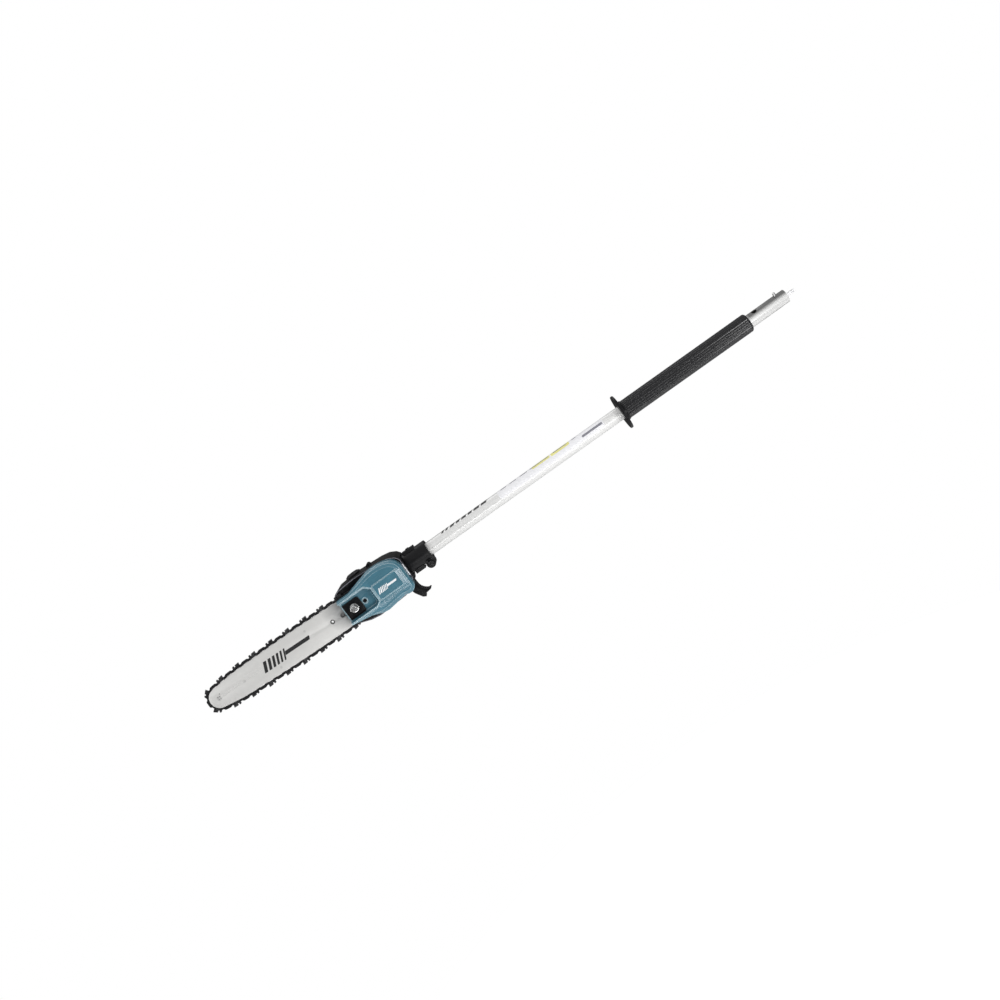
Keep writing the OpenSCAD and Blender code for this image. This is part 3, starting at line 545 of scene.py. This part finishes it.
looks["print_white"] = paper("print_white", (0.95, 0.96, 0.97), 0.4)
# black print, also used as painted shade round the bar's hole
looks["black_print_and_shade"] = paper("black_print_and_shade", (0.012, 0.012, 0.013), 0.45)
looks["print_yellow"] = paper("print_yellow", (0.90, 0.86, 0.30), 0.4)
# grey print, also used as a painted highlight along the housing's parting line
looks["grey_print_and_highlight"] = paper("grey_print_and_highlight", (0.26, 0.26, 0.30), 0.4)


def print_slot(piece):
    """Returns the piece unchanged."""
    return piece


BAR_TILT = math.radians(1.42)
PRINT_FOOT = BAR_FACE + 0.02  # a print on the bar starts just inside its face
print_slot(printed_mark("cover_mark", -881, -837, -8, 2, -53.8, 0.12, "print_white", "frame"))
bar_mark = printed_mark(
    "bar_mark", -1138, -1026, -9.5, 10, PRINT_FOOT, 0.08, "black_print_and_shade", "bar_and_chain", BAR_TILT
)
print_slot(bar_mark)


def hoop(name, outer, inner, y0, y1):
    """A flat ring between two outlines."""
    work = bmesh.new()
    loops = [[work.verts.new((x * MM, y * MM, z * MM)) for x, z in points]
             for points, y in ((outer, y0), (outer, y1), (inner, y1), (inner, y0))]
    n = len(outer)
    for a, b in zip(loops, loops[1:] + loops[:1]):
        for i in range(n):
            work.faces.new((a[i], a[(i + 1) % n], b[(i + 1) % n], b[i]))
    bmesh.ops.recalc_face_normals(work, faces=work.faces)
    mesh = bpy.data.meshes.new(name)
    work.to_mesh(mesh)
    work.free()
    return settle(new_piece(name, mesh))


hole_x, hole_z = -983.0, -2.2
# a black ring round the bar's hole: painted shade for the hole's dark inside
ring = hoop(
    "bar_hole_painted_shade", circle(hole_x, hole_z, 4.2), circle(hole_x, hole_z, 2.3), BAR_FACE - 0.06, PRINT_FOOT
)
print_slot(dress(ring, "black_print_and_shade", "bar_and_chain"))
# a thin white strip beside the housing's joint: a painted highlight on the housing's edge
painted_highlight_strip = solid("painted_edge_highlight", [
    (-31.0, filleted(slanted(-821.7, -820.4, -14.5, 9.5, 0.0), 0.5, 3)),
    (-29.1, filleted(slanted(-821.7, -819.8, -14.5, 9.5, 0.0), 0.5, 3))
])
dress(painted_highlight_strip, "label_white", "frame")

# The rear housing's outline, for the bead along its parting line; the bead's grey is a painted highlight on the
# housing's front edge.
HOUSING = [
    (-958, 23), (-954, 33), (-944, 37.5), (-925, 39), (-905, 39.9), (-878, 38.6), (-852, 37),
    (-836, 34), (-825, 28), (-819, 20), (-819, -20), (-824, -30), (-833, -38), (-850, -41),
    (-889, -43.3), (-907, -44.2), (-926, -41.3), (-947, -34), (-956, -24)
]
# a thin raised bead, coloured light grey as a painted highlight
highlight_bead = hoop(
    "painted_parting_highlight", filleted(inset(HOUSING, 0.9), 8), filleted(inset(HOUSING, 1.9), 8), PARTING, PARTING + 0.6
)
print_slot(dress(highlight_bead, "grey_print_and_highlight", "frame"))
tongue = block("guide_plate_tongue", filleted(rectangle(-969, -948, -9, 8), 2.0), -29.9, -29.2)
dress(tongue, "gear_steel", "frame")


# ---------------------------------------------------------------- pole prints

def wrapped(patches, inner_r, outer_r, name):
    """Thin patches round the pole: each is rows of (angle from the front towards the top, x0, x1)."""
    work = bmesh.new()
    for rows in patches:
        grid = []
        for angle, x0, x1 in rows:
            a = math.radians(angle)
            for r in (outer_r, inner_r):
                y, z = -r * math.cos(a) * MM, r * math.sin(a) * MM
                grid.append([work.verts.new((x * MM, y, z)) for x in (x0, x1)])
        outer, inner = grid[0::2], grid[1::2]
        for k in range(len(rows) - 1):
            work.faces.new((outer[k][0], outer[k][1], outer[k + 1][1], outer[k + 1][0]))
            work.faces.new((inner[k][0], inner[k + 1][0], inner[k + 1][1], inner[k][1]))
            work.faces.new((outer[k][0], outer[k + 1][0], inner[k + 1][0], inner[k][0]))
            work.faces.new((outer[k][1], inner[k][1], inner[k + 1][1], outer[k + 1][1]))
        for k in (0, -1):
            work.faces.new((outer[k][0], inner[k][0], inner[k][1], outer[k][1]))
    bmesh.ops.recalc_face_normals(work, faces=work.faces)
    mesh = bpy.data.meshes.new(name)
    work.to_mesh(mesh)
    work.free()
    return settle(new_piece(name, mesh))


def patch(x0, x1, a0, a1, round_mm=0.0, lean=0.0, step=4.0):
    """Rows of a rounded or slanted patch from angle a0 to a1."""
    n = max(2, round((a1 - a0) / step))
    rows = []
    for k in range(n + 1):
        a = a0 + (a1 - a0) * k / n
        edge = min(a - a0, a1 - a) * math.pi / 180 * POLE_R
        short = round_mm - min(edge, round_mm)
        cut = round_mm - math.sqrt(max(0.0, round_mm ** 2 - short ** 2))
        shift = lean * (a - a0) / (a1 - a0)
        rows.append((a, x0 + cut + shift, x1 - cut + shift))
    return rows


FILM = 0.12  # the label film's thickness
INK_FOOT = POLE_R + FILM - 0.02  # its prints start just inside the film


def label():
    """The film label, with blank colour blocks and dashes in place of its print."""
    piece = wrapped([patch(-612, -386, -4, 112, 4.0, step=2.0)], POLE_R, POLE_R + FILM, "pole_label_film")
    dress(piece, "label_white", "frame", "pole_label")
    blocks = [patch(-536, -498, 50, 98, 0.8), patch(-495, -456, 46, 98, 0.8)]
    yellow = wrapped(blocks, INK_FOOT, INK_FOOT + 0.06, "label_yellow_blocks")
    print_slot(dress(yellow, "print_yellow", "frame"))
    dashes = [patch(-431, -388, 22, 42, 1.0)]
    for x, w in ((-604, 12), (-584, 14), (-562, 16), (-540, 40), (-490, 30), (-449, 8)):
        dashes.append(patch(x, x + w, 68, 80))
    grey = wrapped(dashes, INK_FOOT, INK_FOOT + 0.08, "label_grey_blocks")
    print_slot(dress(grey, "grey_print_and_highlight", "frame"))


label()


def pole_stripes():
    """A row of slanted bars printed on top of the pole, near the gear head."""
    places = ((-736, 5), (-727, 5), (-717, 9), (-704, 8), (-692, 10), (-678, 9), (-665, 12), (-649, 12))
    bars = wrapped([patch(x, x + w, 54, 104, lean=5.0) for x, w in places], POLE_R, POLE_R + 0.05, "pole_stripes")
    print_slot(dress(bars, "black_print_and_shade", "frame"))


pole_stripes()


# ---------------------------------------------------------------- grip

def fluted_grip():
    """The rubber sleeve, with rounded lands between its flutes and a rounded outer end."""
    crown, core, flutes, points = 17.7, 12.55, 24, 240
    x0, x1, end_r, flute_depth = -341, -78, 4.0, 0.9
    stations = [(x0, core, 0.0), (x0, crown, flute_depth), (x1 - end_r - 2, crown, flute_depth)]
    for a in range(0, 91, 15):
        sine, cosine = math.sin(math.radians(a)), math.cos(math.radians(a))
        stations.append((x1 - end_r + end_r * sine, crown - end_r + end_r * cosine, flute_depth * cosine))
    stations.append((x1, core, 0.0))
    work = bmesh.new()
    rings = []
    for x, radius, depth in stations:
        ring = []
        for k in range(points):
            a = 2 * math.pi * k / points
            r = radius - depth * (0.5 - 0.5 * math.cos(flutes * a)) ** 1.5
            ring.append(work.verts.new((x * MM, r * math.cos(a) * MM, r * math.sin(a) * MM)))
        rings.append(ring)
    for a, b in zip(rings, rings[1:] + rings[:1]):
        for k in range(points):
            work.faces.new((a[k], a[(k + 1) % points], b[(k + 1) % points], b[k]))
    bmesh.ops.recalc_face_normals(work, faces=work.faces)
    mesh = bpy.data.meshes.new("hand_grip_sleeve")
    work.to_mesh(mesh)
    work.free()
    dress(settle(new_piece("hand_grip_sleeve", mesh), 40), "grip_rubber", "frame", "hand_grip")


fluted_grip()


# ---------------------------------------------------------------- softened CAD shapes

SOFTENED = (
    # piece, CAD node, edge radius in millimetres, steps round the edge
    ("rear_housing_shell", "rear_housing", 1.6, 4),
    ("chain_side_plate", "chain_plate", 0.5, 2),
    ("drawn_tube", "pole_tube", 0.3, 2),
    ("gear_case_casting", "gear_case", 0.8, 2),
    ("gear_case_lid", "gear_case_cover", 0.8, 2),
    ("branch_hook_casting", "branch_hook", 1.0, 3),
    ("cover_inset_panel", "cover_panel", 0.5, 2),
    ("flanged_nut", "bar_nut", 0.45, 2),
    ("plain_washer", "nut_washer", 0.25, 2),
    ("hand_guard", "grip_flange", 1.4, 3),
    ("filler_cap", "oil_cap", 0.5, 2),
    ("bar_plates", "bar_side_plates", 0.25, 2),
    ("straps", "tie_straps", 0.18, 1),
    ("cutters_near", "cutters_left", 0.15, 1),
    ("cutters_far", "cutters_right", 0.15, 1),
    ("links", "drive_links", 0.15, 1),
    ("clamp_screw", "clamp_bolt", 0.3, 2),
    ("shaft_peg", "locating_peg", 0.4, 2),
)
for row in SOFTENED:
    softened(*row)


# ---------------------------------------------------------------- studio

def place_camera():
    """The photograph's view: the pole rises to the right, seen a little from above and from its far end."""
    azimuth, elevation, rise = math.radians(4), math.radians(8), math.radians(35.35)
    target = Vector((-0.6152, 0, 0))
    distance, lift = 1.7317, -0.00228
    back = Vector((
        math.sin(azimuth) * math.cos(elevation), -math.cos(azimuth) * math.cos(elevation), math.sin(elevation)
    ))
    right = Vector((math.cos(azimuth), math.sin(azimuth), 0))
    up = back.cross(right)
    level = math.atan2(up.x, right.x)
    along = right * math.cos(level) + up * math.sin(level)
    above = up * math.cos(level) - right * math.sin(level)
    x_axis = along * math.cos(rise) - above * math.sin(rise)
    y_axis = along * math.sin(rise) + above * math.cos(rise)
    data = bpy.data.cameras.new("camera")
    data.sensor_width = 36
    data.lens = 34.8
    camera = bpy.data.objects.new("camera", data)
    bpy.context.scene.collection.objects.link(camera)
    turn = Matrix((x_axis, y_axis, back)).transposed().to_4x4()
    camera.matrix_world = Matrix.Translation(target + back * distance + above * lift) @ turn
    bpy.context.scene.camera = camera


def softbox(name, place, aim, size, power):
    data = bpy.data.lights.new(name, "AREA")
    data.shape = "RECTANGLE"
    data.size, data.size_y = size
    data.energy = power
    lamp = bpy.data.objects.new(name, data)
    bpy.context.scene.collection.objects.link(lamp)
    lamp.location = place
    lamp.rotation_mode = "QUATERNION"
    lamp.rotation_quaternion = (Vector(aim) - Vector(place)).to_track_quat("-Z", "Y")
    lamp.visible_camera = False


def white_world():
    """White to the camera, dim to everything else."""
    world = bpy.data.worlds.new("studio")
    bpy.context.scene.world = world
    world.use_nodes = True
    tree = world.node_tree
    surround = tree.nodes["Background"]
    surround.inputs["Color"].default_value = (1, 1, 1, 1)
    surround.inputs["Strength"].default_value = 0.11
    seen = tree.nodes.new("ShaderNodeBackground")
    seen.inputs["Color"].default_value = (1, 1, 1, 1)
    seen.inputs["Strength"].default_value = 1.0
    path = tree.nodes.new("ShaderNodeLightPath")
    pick = tree.nodes.new("ShaderNodeMixShader")
    tree.links.new(path.outputs["Is Camera Ray"], pick.inputs[0])
    tree.links.new(surround.outputs[0], pick.inputs[1])
    tree.links.new(seen.outputs[0], pick.inputs[2])
    tree.links.new(pick.outputs[0], tree.nodes["World Output"].inputs["Surface"])


def overhead_sun():
    """A wide, soft light from above, even over the whole floor."""
    data = bpy.data.lights.new("overhead", "SUN")
    data.energy = 1.7
    data.angle = math.radians(140)
    lamp = bpy.data.objects.new("overhead", data)
    bpy.context.scene.collection.objects.link(lamp)
    lamp.rotation_euler = (math.radians(12), 0, 0)


def studio():
    place_camera()
    head = (-0.87, 0, 0)
    softbox("left", (-2.5, -1.2, 0.15), head, (0.24, 0.55), 5)
    softbox("right", (0.35, -1.6, -0.2), head, (0.35, 0.45), 7)
    softbox("rim", (-0.8, 0.9, 2.0), (-0.65, 0, 0), (2.2, 0.2), 7)
    softbox("low_strip", (-0.5, -1.4, -0.7), (-0.5, 0, 0), (2.2, 0.10), 9)
    softbox("tip", (0.25, -0.9, -0.25), (-0.04, 0, 0), (0.25, 0.25), 1.6)
    overhead_sun()
    white_world()
    bpy.context.scene.view_settings.view_transform = "Standard"
    work = bmesh.new()
    bmesh.ops.create_circle(work, cap_ends=True, segments=96, radius=1.7)
    mesh = bpy.data.meshes.new("floor")
    work.to_mesh(mesh)
    work.free()
    floor = new_piece("floor", mesh)
    floor.location = (-0.6, 0, -1.4)
    look = Look("floor_paper", 0.8, Emission_Color=(1, 1, 1, 1), Emission_Strength=0.48)
    look.colour(look.mix(look.span(look.noise(400, 2), 0, 1), (0.93, 0.93, 0.93), (0.95, 0.95, 0.95)))
    floor.data.materials.append(look.material)


studio()
